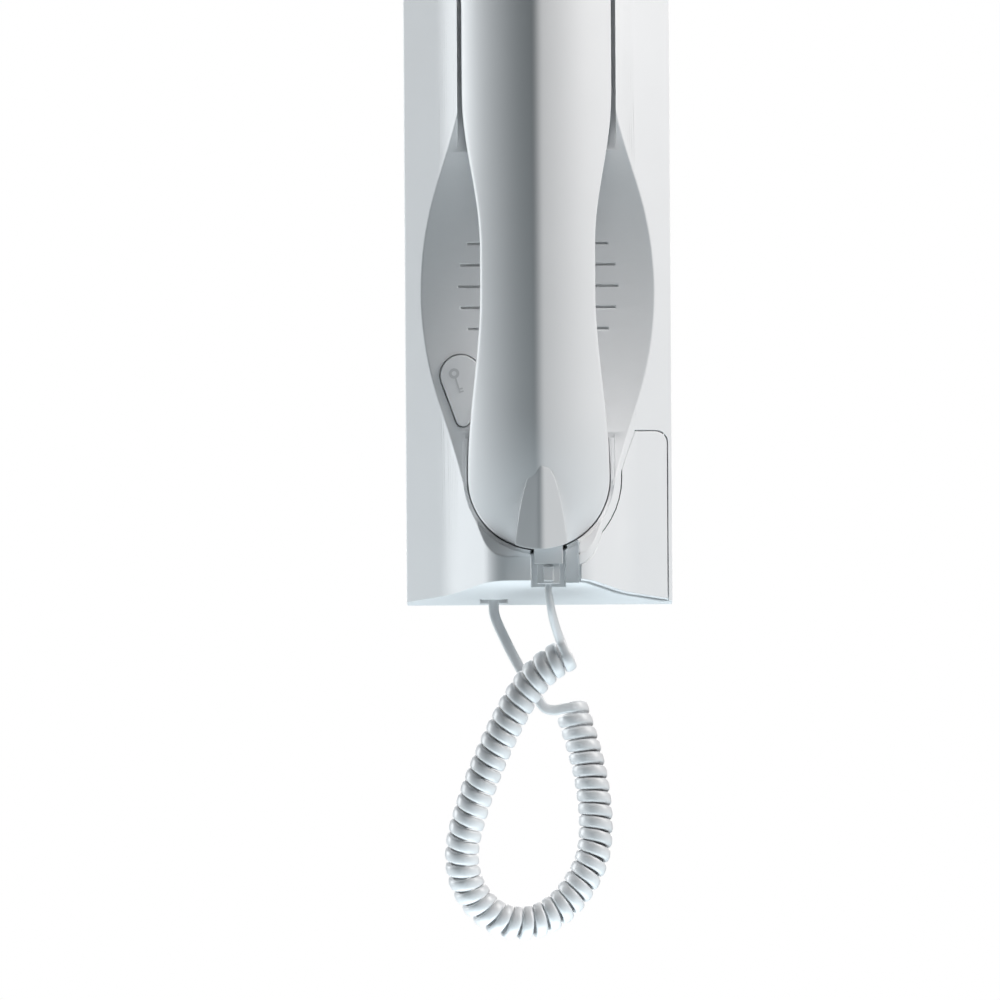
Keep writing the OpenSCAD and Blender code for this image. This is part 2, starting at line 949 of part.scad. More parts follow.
module handset_rear() {
    seat_wall = 1.6;
    ear_seat_r = ear_r + play;
    mic_seat_r = mic_r + boot_wall + play;
    color("whitesmoke")
        on_wall()
            difference() {
                union() {
                    difference() {
                        handset_form(0);
                        handset_form(shell);
                    }
                    for (y = screw_ys)
                        intersection() {
                            disc(boss_r, 0, y, rear_d, parting_d);
                            handset_form(0);
                        }
                    tube(ear_seat_r + seat_wall, ear_seat_r, 0, ear_capsule_y,
                        inner_floor - bite, inner_floor + 6);
                    tube(mic_seat_r + seat_wall, mic_seat_r, 0, mic_y,
                        inner_floor - bite, inner_floor + 4);
                }
                block(-base_w, base_w, -base_h, base_h, parting_d, reach);
                for (y = screw_ys) {
                    disc(handset_screw_r + play, 0, y, 0, reach);
                    disc(handset_head_r + play, 0, y, 0, handset_head_d);
                }
                sound_holes(ear_capsule_y, 2, 4.2, 1);
                sound_holes(mic_y, 1, 3, 0.7);
            }
}

module ear_capsule() {
    back = inner_floor + ear_pad_t;
    color("dimgray")
        on_wall()
            translate([0, ear_capsule_y, 0])
                rotate_extrude()
                    polygon([
                        [0, back + 1], [5, back + 0.4], [ear_r - 4, back + 0.4], [ear_r - 3, back],
                        [ear_r, back], [ear_r, back + 3], [ear_r - 2, back + 4], [ear_r / 2, back + 4.6],
                        [ear_r / 2, back + ear_capsule_t], [0, back + ear_capsule_t]
                    ]);
}

module ear_gasket() {
    color("black")
        on_wall()
            tube(ear_r, ear_r - ear_border, 0, ear_capsule_y, inner_floor, inner_floor + ear_pad_t);
}

module mic_capsule() {
    color("silver")
        on_wall()
            disc(mic_r, 0, mic_y, inner_floor + boot_floor, inner_floor + boot_floor + mic_t);
}

module mic_boot() {
    color("black")
        on_wall()
            difference() {
                disc(mic_r + boot_wall, 0, mic_y, inner_floor, inner_floor + boot_floor + mic_t);
                disc(mic_r + turn_play, 0, mic_y, inner_floor + boot_floor, reach);
                disc(mic_port_r, 0, mic_y, 0, reach);
            }
}

module handset_jack() {
    color("lightgray")
        on_wall()
            modular_jack(plug_x, plug_d, handset_jack_low, handset_jack_top,
                handset_plug_top - handset_jack_low + play);
}

module handset_plug() {
    color("white")
        on_wall()
            modular_plug(plug_x, plug_d, handset_plug_low, handset_plug_top,
                handset_jack_low - handset_plug_low - 2);
}

module handset_screws() {
    color("silver")
        on_wall()
            for (y = screw_ys) {
                disc(handset_screw_r, 0, y, handset_head_d - bite, handset_screw_end);
                disc(handset_head_r, 0, y, handset_head_d - 2, handset_head_d);
            }
}

// Cord

function spline(a, b, c, d, t) =
    0.5 * (2 * b + (c - a) * t + (2 * a - 5 * b + 4 * c - d) * t * t + (3 * b - a - 3 * c + d) * t * t * t);
function smooth_path(p) = concat(
    [for (i = [0:len(p) - 2], k = [0:spline_steps - 1])
        spline(p[max(i - 1, 0)], p[i], p[i + 1], p[min(i + 2, len(p) - 1)], k / spline_steps)],
    [p[len(p) - 1]]
);
function run_lengths(p) = [
    for (i = 0, s = 0; i < len(p); i = i + 1, s = s + norm(p[min(i, len(p) - 1)] - p[i - 1])) s
];

coil_path = smooth_path(coil_route);
coil_runs = run_lengths(coil_path);
coil_length = coil_runs[len(coil_runs) - 1];
coil_x = [for (i = [0:len(coil_path) - 1]) [coil_runs[i], coil_path[i].x]];
coil_y = [for (i = [0:len(coil_path) - 1]) [coil_runs[i], coil_path[i].y]];
coil_z = [for (i = [0:len(coil_path) - 1]) [coil_runs[i], coil_path[i].z]];
function coil_middle(s) = [lookup(s, coil_x), lookup(s, coil_y), lookup(s, coil_z)];
function coil_tangent(s) =
    unit(coil_middle(min(s + 1, coil_length)) - coil_middle(max(s - 1, 0)));
function coil_front(s) = let (t = coil_tangent(s)) unit([0, 0, 1] - t * t.z);
function coil_side(s) = cross(coil_tangent(s), coil_front(s));
// Direction from the middle of the coil to the cord after so many curls
function coil_out(s, n) = coil_front(s) * cos(360 * n) - coil_side(s) * sin(360 * n);
function coil_point(n) = let (s = coil_length * n / curls) coil_middle(s) + curl_r * coil_out(s, n);
function coil_end_dir(s) = unit(coil_tangent(s) * coil_length / curls - coil_side(s) * 2 * PI * curl_r);

helix = [for (k = [0:curls * coil_steps]) coil_point(k / coil_steps)];
coil_start = helix[0] - coil_end_dir(0) * cord_d;
coil_end = helix[len(helix) - 1] + coil_end_dir(coil_length) * cord_d;

// Least distance between points of the helix that are more than half a curl apart
function least_gap(p) = min([
    for (i = [0:len(p) - 1], j = [i + coil_steps / 2 + 1:1:len(p) - 1]) norm(p[i] - p[j])
]) - cord_d;

function path_dir(p, i) = unit(
    (i > 0 ? unit(p[i] - p[i - 1]) : [0, 0, 0]) + (i < len(p) - 1 ? unit(p[i + 1] - p[i]) : [0, 0, 0])
);
function ring(c, dir, out, r, sides) =
    let (u = unit(out - dir * (out * dir)), v = cross(dir, u))
    [for (a = [0:sides - 1]) c + r * (u * cos(360 * a / sides) + v * sin(360 * a / sides))];

// A closed tube through the points p, with one direction of its rings for each point
module sweep(p, outs, r, sides) {
    n = len(p);
    points = [for (i = [0:n - 1]) each ring(p[i], path_dir(p, i), outs[i], r, sides)];
    skin = [for (i = [0:n - 2], a = [0:sides - 1]) let (b = (a + 1) % sides)
        each [
            [i * sides + a, (i + 1) * sides + a, (i + 1) * sides + b],
            [i * sides + a, (i + 1) * sides + b, i * sides + b]
        ]];
    first = [for (a = [1:sides - 2]) [0, a, a + 1]];
    last = [for (a = [1:sides - 2]) (n - 1) * sides * [1, 1, 1] + [0, a + 1, a]];
    polyhedron(points, concat(skin, first, last));
}

module cord_coil() {
    outs = [for (k = [0:curls * coil_steps]) coil_out(coil_length * k / coil_steps / curls, k / coil_steps)];
    echo(str("least gap of the curly cord to itself, in mm: ", least_gap(helix)));
    color("white")
        on_wall()
            sweep(concat([coil_start], helix, [coil_end]), concat([outs[0]], outs, [outs[len(outs) - 1]]),
                cord_d / 2, coil_sides);
}

module tail(p) {
    color("white")
        on_wall()
            sweep(p, [for (q = p) [0, 0, 1]], cord_d / 2, tail_sides);
}

module cord_handset_tail() {
    tail(concat(handset_tail_route, [coil_start - coil_end_dir(0) * cord_d, coil_start]));
}

module cord_base_tail() {
    tail(concat([coil_end, coil_end + coil_end_dir(coil_length) * cord_d], base_tail_route));
}

back_plate();
front_housing();
terminal_cover();
door_button();
door_switch();
main_board();
board_components();
board_screws();
terminal_block();
terminal_screws();
housing_screw();
ringer_speaker();
ringer_gasket();
hook_lever();
hook_pin();
hook_spring();
hook_switch();
base_jack();
base_plug();
handset_front();
handset_rear();
ear_capsule();
ear_gasket();
mic_capsule();
mic_boot();
handset_jack();
handset_plug();
handset_screws();
cord_handset_tail();
cord_coil();
cord_base_tail();
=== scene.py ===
"""Looks of a wall intercom station: moulded skins, handset, curly cord and a plain studio."""
import json
import math

import bmesh
import bpy
import numpy as np
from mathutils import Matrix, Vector
from mathutils.bvhtree import BVHTree


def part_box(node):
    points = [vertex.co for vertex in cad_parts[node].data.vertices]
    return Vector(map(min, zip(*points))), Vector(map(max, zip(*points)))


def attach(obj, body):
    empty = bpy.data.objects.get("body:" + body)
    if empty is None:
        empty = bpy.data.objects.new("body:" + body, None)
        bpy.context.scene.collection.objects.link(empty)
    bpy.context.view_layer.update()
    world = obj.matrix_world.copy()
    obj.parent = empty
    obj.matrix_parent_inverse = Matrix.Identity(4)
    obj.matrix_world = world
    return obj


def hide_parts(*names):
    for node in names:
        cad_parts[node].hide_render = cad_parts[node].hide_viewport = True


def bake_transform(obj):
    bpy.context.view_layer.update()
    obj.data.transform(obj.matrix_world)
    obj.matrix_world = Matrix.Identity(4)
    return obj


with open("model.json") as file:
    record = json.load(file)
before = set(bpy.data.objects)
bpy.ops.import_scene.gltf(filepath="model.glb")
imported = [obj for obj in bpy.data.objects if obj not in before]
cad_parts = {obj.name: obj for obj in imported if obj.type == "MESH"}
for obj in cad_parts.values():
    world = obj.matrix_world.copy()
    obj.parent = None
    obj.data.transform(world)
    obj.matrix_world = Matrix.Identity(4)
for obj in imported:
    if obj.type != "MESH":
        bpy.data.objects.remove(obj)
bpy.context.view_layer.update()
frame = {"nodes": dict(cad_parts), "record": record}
scene = bpy.context.scene
MM = 0.001


def place(x, y, d):
    """A point in metres from its place on the wall in millimetres: right, up and out of the wall."""
    return Vector((x, -d, y)) * MM


def unit(v):
    return v / np.linalg.norm(v, axis=-1, keepdims=True)


# Camera

PIXELS_PER_MM = 2.944
IMAGE_SIZE = 1000
SENSOR_W = 36
CAMERA_DISTANCE = 2500
VIEW_X = -13.25
VIEW_Y = -74.3
CAMERA_ROLL = 0.355


def make_camera():
    data = bpy.data.cameras.new("camera")
    data.sensor_width = SENSOR_W
    data.lens = SENSOR_W * PIXELS_PER_MM * CAMERA_DISTANCE / IMAGE_SIZE
    data.shift_x = VIEW_X * PIXELS_PER_MM / IMAGE_SIZE
    camera = bpy.data.objects.new("camera", data)
    camera.location = place(0, VIEW_Y, CAMERA_DISTANCE)
    camera.rotation_euler = (math.radians(90), math.radians(CAMERA_ROLL), 0)
    scene.collection.objects.link(camera)
    scene.camera = camera


make_camera()


# Mesh helpers

PILLAR_SIDES = 32


def object_from(name, bm):
    mesh = bpy.data.meshes.new(name)
    bm.to_mesh(mesh)
    bm.free()
    obj = bpy.data.objects.new(name, mesh)
    scene.collection.objects.link(obj)
    return obj


def solid_from(name, bm):
    bmesh.ops.recalc_face_normals(bm, faces=bm.faces)
    return object_from(name, bm)


def skin(bm, rows, closed=False):
    """Faces between rows of points that follow each other; closed joins the ends of each row."""
    width = len(rows[0])
    for a, b in zip(rows[:-1], rows[1:]):
        for k in range(width if closed else width - 1):
            n = (k + 1) % width
            bm.faces.new((a[k], a[n], b[n], b[k]))


def tube(bm, rings):
    """A closed form through rings of places on the wall."""
    rows = [[bm.verts.new(place(*p)) for p in ring] for ring in rings]
    skin(bm, rows, closed=True)
    bm.faces.new(rows[0])
    bm.faces.new(rows[-1])


def bake(obj):
    """Makes the modifiers of an object part of its mesh."""
    graph = bpy.context.evaluated_depsgraph_get()
    mesh = bpy.data.meshes.new_from_object(obj.evaluated_get(graph))
    obj.modifiers.clear()
    obj.data = mesh


def cut(obj, tool, folded=False):
    """Takes the solid of tool out of obj; folded allows for walls that cross each other."""
    change = obj.modifiers.new("cut", "BOOLEAN")
    change.operation = "DIFFERENCE"
    change.solver = "EXACT"
    change.use_self = folded
    change.object = tool
    bake(obj)
    bpy.data.objects.remove(tool)


def smooth(obj, angle):
    """Smooth shading, with edges sharper than the angle left crisp."""
    obj.data.polygons.foreach_set("use_smooth", [True] * len(obj.data.polygons))
    obj.data.set_sharp_from_angle(angle=math.radians(angle))


def pillars(name, centres, radius, low, high):
    """Round rods along the depth, as one object to cut holes with."""
    bm = bmesh.new()
    turns = [2 * math.pi * k / PILLAR_SIDES for k in range(PILLAR_SIDES)]
    for x, y in centres:
        circle = [(x + radius * math.cos(a), y + radius * math.sin(a)) for a in turns]
        tube(bm, [[(*spot, d) for spot in circle] for d in (low, high)])
    return solid_from(name, bm)


def brick(name, low, high):
    """A box between two corners given on the wall."""
    bm = bmesh.new()
    bmesh.ops.create_cube(bm, size=1)
    a, b = place(*low), place(*high)
    for v in bm.verts:
        v.co = Vector(a[i] if v.co[i] < 0 else b[i] for i in range(3))
    return solid_from(name, bm)


# Cord

CORD_D = 2.8
CORD_THIN = 1.2
CORD_SIDES = 16
CORD_FLATNESS = 0.75
CURL_R = 4.6
CURLS = 45
CURL_STEPS = 24
CURL_GAP = 0.2
CURL_W = (2.7, 3.9)
BASE_TAIL_W = 3.5
HANDSET_TAIL_W = 3.2
ROUTE_STEPS = 12
TAIL_STEPS = 8
# Where the plugs sit, and the route of the coil and of its two tails
PLUG_X = 3
PLUG_D = 41
BASE_PLUG = (-15.5, -108, 6.3)
COIL_ROUTE = [
    [9, -126, 30], [2, -130.5, 29.5], [-4.5, -137.5, 28.5], [-11, -148.5, 27.5], [-17.5, -162.5, 26],
    [-23, -177, 24], [-26.5, -191, 22], [-25.5, -202, 20.5], [-20.5, -210.5, 19], [-12.5, -216, 18],
    [-3, -216.5, 17], [6, -212, 16], [13, -204, 15], [17.5, -194, 14], [18.5, -182, 12.5],
    [17, -168.5, 11], [14, -156, 9.5], [10.5, -145, 8],
]
HANDSET_TAIL = [
    [PLUG_X, -102.3, PLUG_D], [PLUG_X, -105.5, PLUG_D], [3.8, -110.5, 40], [4.9, -115.5, 37.5],
]
BASE_TAIL = [
    [1.5, -144.5, 12.5], [-1, -141, 12], [-4.5, -135, 11], [-8.5, -128, 9.5], [-12, -121, 8],
    [-14.5, -115.5, 7], [-15.5, -112, 6.3], list(BASE_PLUG),
]


def spline(points, steps):
    """A smooth line through the points."""
    p = np.array(points, float)
    line = []
    for i in range(len(p) - 1):
        a, b, c, d = p[max(i - 1, 0)], p[i], p[i + 1], p[min(i + 2, len(p) - 1)]
        for k in range(steps):
            t = k / steps
            line.append(0.5 * (
                2 * b + (c - a) * t
                + (2 * a - 5 * b + 4 * c - d) * t ** 2
                + (3 * b - a - 3 * c + d) * t ** 3
            ))
    return np.array(line + [p[-1]])


def coil():
    """The curls from the handset to the base: points, axis of the coil and directions of the ends."""
    path = spline(COIL_ROUTE, ROUTE_STEPS)
    runs = np.concatenate([[0], np.cumsum(np.linalg.norm(np.diff(path, axis=0), axis=1))])

    def middle(s):
        return np.stack([np.interp(s, runs, path[:, k]) for k in range(3)], axis=1)

    turns = np.arange(CURLS * CURL_STEPS + 1) / CURL_STEPS
    s = runs[-1] * turns / CURLS
    axis = unit(middle(np.minimum(s + 1, runs[-1])) - middle(np.maximum(s - 1, 0)))
    front = unit(np.array([0, 0, 1]) - axis * axis[:, 2:])
    side = np.cross(axis, front)
    angle = 2 * math.pi * turns[:, None]
    points = middle(s) + CURL_R * (front * np.cos(angle) - side * np.sin(angle))
    ends = unit(axis * runs[-1] / CURLS - side * 2 * math.pi * CURL_R)
    return points, axis, ends[0], ends[-1]


def curl_widths(points):
    """Half the width of the flat cord, limited by the distance to the next curls."""
    steps = np.linalg.norm(points[CURL_STEPS:] - points[:-CURL_STEPS], axis=1)
    room = np.full(len(points), steps.max())
    room[:-CURL_STEPS] = np.minimum(room[:-CURL_STEPS], steps)
    room[CURL_STEPS:] = np.minimum(room[CURL_STEPS:], steps)
    return np.clip(room - CURL_GAP, *CURL_W) / 2


def make_cord():
    points, axis, first, last = coil()
    half = curl_widths(points)
    base_end = [points[-1] + last * k * CORD_D for k in (2, 1, 0)]
    hand_end = [points[0] - first * k * CORD_D for k in (0, 1, 2)]
    base = spline(BASE_TAIL[::-1] + base_end, TAIL_STEPS)
    hand = spline(hand_end + HANDSET_TAIL[::-1], TAIL_STEPS)
    line = np.concatenate([base[:-1], points[::-1], hand[1:]])
    n_base, n_hand = len(base) - 1, len(hand) - 1
    fade_in = np.linspace(0, 1, n_base)[:, None]
    fade_out = np.linspace(0, 1, n_hand + 1)[1:, None]
    wide = np.concatenate([
        np.array([1, 0, 0]) * (1 - fade_in) + axis[-1] * fade_in,
        axis[::-1],
        axis[0] * (1 - fade_out) + np.array([0, 0, 1]) * fade_out,
    ])
    half = np.concatenate([
        np.full(n_base, BASE_TAIL_W / 2), half[::-1], np.full(n_hand, HANDSET_TAIL_W / 2),
    ])
    along = unit(np.gradient(line, axis=0))
    wide = unit(wide - along * np.sum(wide * along, axis=1, keepdims=True))
    thin = np.cross(along, wide)
    turn = 2 * math.pi * np.arange(CORD_SIDES) / CORD_SIDES
    flat_cos, flat_sin = (
        np.sign(v) * np.abs(v) ** CORD_FLATNESS for v in (np.cos(turn), np.sin(turn))
    )
    rings = (
        line[:, None]
        + wide[:, None] * (half[:, None] * flat_cos)[:, :, None]
        + thin[:, None] * (CORD_THIN * flat_sin)[None, :, None]
    )
    bm = bmesh.new()
    tube(bm, rings)
    obj = solid_from("curly_cord", bm)
    smooth(obj, 60)
    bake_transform(obj)
    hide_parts("cord_handset_tail", "cord_coil", "cord_base_tail")
    return obj, [place(*p) for p in line]


cord, cord_path = make_cord()


# Materials

COLOURS = {m["slot"]: m["base_color"] for m in frame["record"]["materials"]}


class Paint:
    """A procedural material that starts from the colour of a slot of the record."""

    def __init__(self, slot, roughness):
        self.material = bpy.data.materials.new(slot)
        self.material.use_nodes = True
        self.nodes = self.material.node_tree.nodes
        self.links = self.material.node_tree.links
        self.shader = self.nodes["Principled BSDF"]
        self.colour = COLOURS[slot]
        self.shader.inputs["Base Color"].default_value = (*self.colour, 1)
        self.shader.inputs["Roughness"].default_value = roughness
        self.coords = self.nodes.new("ShaderNodeTexCoord").outputs["Object"]

    def noise(self, size_mm, detail=2.0, stretch=(1, 1, 1)):
        """Noise whose features have a size in millimetres."""
        texture = self.nodes.new("ShaderNodeTexNoise")
        texture.inputs["Scale"].default_value = 1 / (size_mm * MM)
        texture.inputs["Detail"].default_value = detail
        mapping = self.nodes.new("ShaderNodeMapping")
        mapping.inputs["Scale"].default_value = stretch
        self.links.new(self.coords, mapping.inputs["Vector"])
        self.links.new(mapping.outputs["Vector"], texture.inputs["Vector"])
        return texture.outputs["Fac"]

    def spread(self, value, low, high):
        """A value from a texture, most of which lies between 0.3 and 0.7, mapped to a range."""
        node = self.nodes.new("ShaderNodeMapRange")
        node.inputs["From Min"].default_value = 0.3
        node.inputs["From Max"].default_value = 0.7
        node.inputs["To Min"].default_value = low
        node.inputs["To Max"].default_value = high
        self.links.new(value, node.inputs["Value"])
        return node.outputs["Result"]

    def tone(self, value, dark, light=1.0):
        """Lets the colour vary between two shares of itself."""
        mix = self.nodes.new("ShaderNodeMix")
        mix.data_type = "RGBA"
        mix.inputs["A"].default_value = (*[c * dark for c in self.colour], 1)
        mix.inputs["B"].default_value = (*[min(1, c * light) for c in self.colour], 1)
        self.links.new(self.spread(value, 0, 1), mix.inputs["Factor"])
        self.links.new(mix.outputs["Result"], self.shader.inputs["Base Color"])

    def rough(self, value, low, high):
        self.links.new(self.spread(value, low, high), self.shader.inputs["Roughness"])

    def bump(self, value, height_mm):
        node = self.nodes.new("ShaderNodeBump")
        node.inputs["Distance"].default_value = height_mm * MM
        node.inputs["Strength"].default_value = 1
        self.links.new(value, node.inputs["Height"])
        self.links.new(node.outputs["Normal"], self.shader.inputs["Normal"])


def moulded_plastic(slot, roughness, grain_mm, grain_height, tone=0.985):
    """Injection-moulded plastic: fine spark-eroded grain, cloudy gloss and a faint change of tone."""
    paint = Paint(slot, roughness)
    paint.tone(paint.noise(18, 3), tone)
    paint.rough(paint.noise(3, 3), roughness - 0.02, roughness + 0.02)
    paint.bump(paint.noise(grain_mm, 3), grain_height)
    return paint


def steel():
    paint = Paint("steel", 0.32)
    paint.shader.inputs["Metallic"].default_value = 1
    brushed = paint.noise(0.3, 3, stretch=(1, 1, 0.08))
    paint.tone(brushed, 0.82)
    paint.rough(brushed, 0.25, 0.42)
    paint.bump(brushed, 0.004)
    return paint


def circuit_board():
    """Solder mask over copper tracks."""
    paint = Paint("board", 0.35)
    tracks = paint.nodes.new("ShaderNodeTexBrick")
    tracks.inputs["Scale"].default_value = 1 / (3 * MM)
    tracks.inputs["Mortar Size"].default_value = 0.12
    turned = paint.nodes.new("ShaderNodeMapping")
    turned.inputs["Rotation"].default_value = (math.radians(90), 0, 0)
    paint.links.new(paint.coords, turned.inputs["Vector"])
    paint.links.new(turned.outputs["Vector"], tracks.inputs["Vector"])
    paint.tone(tracks.outputs["Fac"], 0.7, 1.5)
    paint.rough(paint.noise(2, 3), 0.3, 0.45)
    paint.bump(tracks.outputs["Fac"], 0.03)
    return paint


def foam_rubber():
    paint = Paint("black_rubber", 0.85)
    cells = paint.noise(0.5, 4)
    paint.tone(cells, 0.6, 1.6)
    paint.rough(cells, 0.75, 0.95)
    paint.bump(cells, 0.08)
    return paint


def lacquered_metal():
    paint = Paint("dark_metal", 0.4)
    paint.shader.inputs["Metallic"].default_value = 0.6
    peel = paint.noise(1.2, 2)
    paint.tone(peel, 0.8, 1.15)
    paint.rough(peel, 0.33, 0.48)
    paint.bump(peel, 0.01)
    return paint


def clear_plug():
    paint = moulded_plastic("plug_plastic", 0.2, 0.5, 0.002)
    paint.shader.inputs["Transmission Weight"].default_value = 0.25
    return paint


PAINTS = {
    "white_abs": moulded_plastic("white_abs", 0.52, 0.35, 0.003),
    "handset_abs": moulded_plastic("handset_abs", 0.4, 0.45, 0.0015),
    "button_abs": moulded_plastic("button_abs", 0.36, 0.35, 0.002),
    "grey_abs": moulded_plastic("grey_abs", 0.5, 0.4, 0.006, tone=0.93),
    "plug_plastic": clear_plug(),
    "cord_jacket": moulded_plastic("cord_jacket", 0.34, 0.35, 0.003, tone=0.93),
    "black_plastic": moulded_plastic("black_plastic", 0.5, 0.3, 0.006, tone=0.75),
    "black_rubber": foam_rubber(),
    "board": circuit_board(),
    "terminal_green": moulded_plastic("terminal_green", 0.45, 0.3, 0.004, tone=0.85),
    "dark_metal": lacquered_metal(),
    "steel": steel(),
}


def dress(obj, slot):
    obj.data.materials.clear()
    obj.data.materials.append(PAINTS[slot].material)


dress(cord, "cord_jacket")


# Mouldings of the base and the plugs, with rounded edges

SLOTS = {part["node"]: part["material_slot"] for part in frame["record"]["subparts"]}
BODIES = {
    node: body for body, nodes in frame["record"]["behaviour"]["bodies"].items() for node in nodes
}
WELD = 2e-6
FLAT_ANGLE = math.radians(0.2)
EDGE_ANGLE = math.radians(28)
EDGE_SEGMENTS = 3


def linked_flat(faces):
    """Groups of the faces that are linked by edges without a bend."""
    left, groups = dict.fromkeys(faces), []
    while left:
        queue, group = [left.popitem()[0]], []
        while queue:
            face = queue.pop()
            group.append(face)
            for e in face.edges:
                if len(e.link_faces) == 2 and e.calc_face_angle() < FLAT_ANGLE:
                    for other in e.link_faces:
                        if other in left:
                            del left[other]
                            queue.append(other)
        groups.append(group)
    return groups


def join_flat(bm):
    """Joins the triangles of flat faces, in patches that have no hole."""
    patches = linked_flat(bm.faces)
    while patches:
        patch = patches.pop()
        edges = {e for f in patch for e in f.edges}
        verts = {v for f in patch for v in f.verts}
        if len(verts) - len(edges) + len(patch) == 1:
            if len(patch) > 1:
                bmesh.utils.face_join(patch)
            continue
        centres = np.array([f.calc_center_median() for f in patch])
        axis = np.ptp(centres, axis=0).argmax()
        low = centres[:, axis] < centres[:, axis].mean()
        for side in (True, False):
            patches += linked_flat([f for f, is_low in zip(patch, low) if is_low == side])
    bmesh.ops.dissolve_limit(bm, angle_limit=FLAT_ANGLE, verts=bm.verts, edges=[])


def moulding(node, name, edge_mm):
    """A copy of a solid with soft edges, which stands for the solid."""
    bm = bmesh.new()
    bm.from_mesh(frame["nodes"][node].data)
    bmesh.ops.remove_doubles(bm, verts=bm.verts, dist=WELD)
    join_flat(bm)
    obj = object_from(name, bm)
    rounding = obj.modifiers.new("edges", "BEVEL")
    rounding.width = edge_mm * MM
    rounding.segments = EDGE_SEGMENTS
    rounding.limit_method = "ANGLE"
    rounding.angle_limit = EDGE_ANGLE
    rounding.use_clamp_overlap = False
    bake(obj)
    smooth(obj, 40)
    shading = obj.modifiers.new("normals", "WEIGHTED_NORMAL")
    shading.keep_sharp = True
    dress(obj, SLOTS[node])
    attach(obj, BODIES[node])
    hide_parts(node)
    return obj


MOULDINGS = [
    ("front_housing", "housing_skin", 0.4),
    ("terminal_cover", "cover_skin", 0.3),
    ("door_button", "button_skin", 0.35),
    ("handset_jack", "jack_collar", 0.3),
    ("handset_plug", "handset_plug_body", 0.25),
    ("base_plug", "base_plug_body", 0.25),
    ("hook_lever", "hook_lever_body", 0.3),
    ("back_plate", "wall_plate", 0.3),
]
made = {node: moulding(node, name, edge) for node, name, edge in MOULDINGS}


# Key on the door button and screen behind the ringer slots

SCOOP_R = 131
SCOOP_FLOOR = 11
SCOOP_Y = -4
BUTTON_PROUD = 0.8
KEY_RISE = 0.1
KEY_BOW = (-28.4, -31.4)
KEY_BOW_R = 1.75
KEY_HOLE_R = 0.8
KEY_END = (-26.4, -38)
KEY_BAR = 0.55
KEY_BIT = 1.3
KEY_SIDES = 40
SCREEN_X = 29.5
SCREEN_Y = (-19, 16)
SCREEN_DEPTHS = (0.8, 1.2)
SCREEN_ROWS = 13


def scoop_depth(y):
    return SCOOP_FLOOR + SCOOP_R - math.sqrt(SCOOP_R ** 2 - (y - SCOOP_Y) ** 2)


def plate_on_button(bm, points):
    """A thin plate of the given outline on the curved face of the button."""
    tube(bm, [
        [(x, y, scoop_depth(y) + BUTTON_PROUD + rise) for x, y in points] for rise in (KEY_RISE, -KEY_RISE)
    ])


def strip(start, end, width):
    """Corners of a straight strip."""
    a, b = np.array(start, float), np.array(end, float)
    side = np.array([-(b - a)[1], (b - a)[0]]) / np.linalg.norm(b - a) * width / 2
    return [a + side, b + side, b - side, a - side]


def make_key():
    bm = bmesh.new()
    bow, end = np.array(KEY_BOW), np.array(KEY_END)
    along = (end - bow) / np.linalg.norm(end - bow)
    across = np.array([-along[1], along[0]])
    for k in range(KEY_SIDES):
        a, b = (2 * math.pi * (k + i) / KEY_SIDES for i in (0, 1))
        plate_on_button(bm, [
            bow + r * np.array([math.cos(t), math.sin(t)])
            for r, t in ((KEY_BOW_R, a), (KEY_BOW_R, b), (KEY_HOLE_R, b), (KEY_HOLE_R, a))
        ])
    plate_on_button(bm, strip(bow + along * KEY_BOW_R * 0.9, end, KEY_BAR))
    for back in (KEY_BAR / 2, KEY_BAR * 2.3):
        root = end - along * back
        plate_on_button(bm, strip(root, root + across * KEY_BIT, KEY_BAR))
    key = solid_from("door_key_mark", bm)
    dress(key, "grey_abs")
    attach(key, "door_button")


def make_screen():
    """A dust screen inside the wall of the scoop, seen only at the bottom of the ringer slots."""
    near, far = SCREEN_DEPTHS
    corners = ((-SCREEN_X, near), (SCREEN_X, near), (SCREEN_X, far), (-SCREEN_X, far))
    bm = bmesh.new()
    tube(bm, [
        [(x, y, scoop_depth(y) - depth) for x, depth in corners] for y in np.linspace(*SCREEN_Y, SCREEN_ROWS)
    ])
    screen = solid_from("ringer_screen", bm)
    smooth(screen, 40)
    dress(screen, "grey_abs")
    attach(screen, "base")


make_screen()
make_key()


# Handset

EAR_W = 50
GRIP_W = 38.4
MOUTH_W = 47.4
MOUTH_Y = -67
EAR_Y = 62
GRIP_TOP_Y = 10
GRIP_LOW_Y = -4
HANDSET_D = 56
HANDSET_TOP = 94.5
TOP_SLANT = math.tan(math.radians(16.7))
RIDGE_R = 6
RIDGE_ANGLE = math.radians(18)
FRONT_R = 47
BEND_R = 111
BEND_Y = -45
NOSE_D = 54.5
NOSE_X = 0.7
NOSE_KEEL_R = 3
NOSE_KEEL_ANGLE = math.radians(24)
NOSE_TOP_Y = -62.7
NOSE_HALF_W = 8.8
NOSE_EDGE = 0.1
NOSE_ROOT = 2
NOSE_ARCH = 0.36
NOSE_ROWS = 40
NOSE_FLANK_STEPS = 25
NOSE_EDGE_TURNS = [math.radians(22.5 * k) for k in range(1, 5)]
REAR_D = 20.8
HOLLOW_R = 89
GRIP_BACK = 31.3
GRIP_Y = 1
REAR_BLEND = 0.6
PARTING_D = 36
SHELL = 2.2
FRONT_RIM = 0.8
REAR_RIM = 1.2
TOP_EDGE = 1.1
SEAM = 0.25
TOP_ROWS = 28
LEVEL_ROWS = 104
ROUND_ROWS = 52
FACE_STEPS = 30
RIM_STEPS = 5
JACK_GAP = 0.2
EAR_HOLES_Y = 72
MOUTH_HOLES_Y = -72
SCREW_HOLES = [(0, 36), (0, -34)]


def ease(t):
    return (1 - math.cos(math.pi * t)) / 2


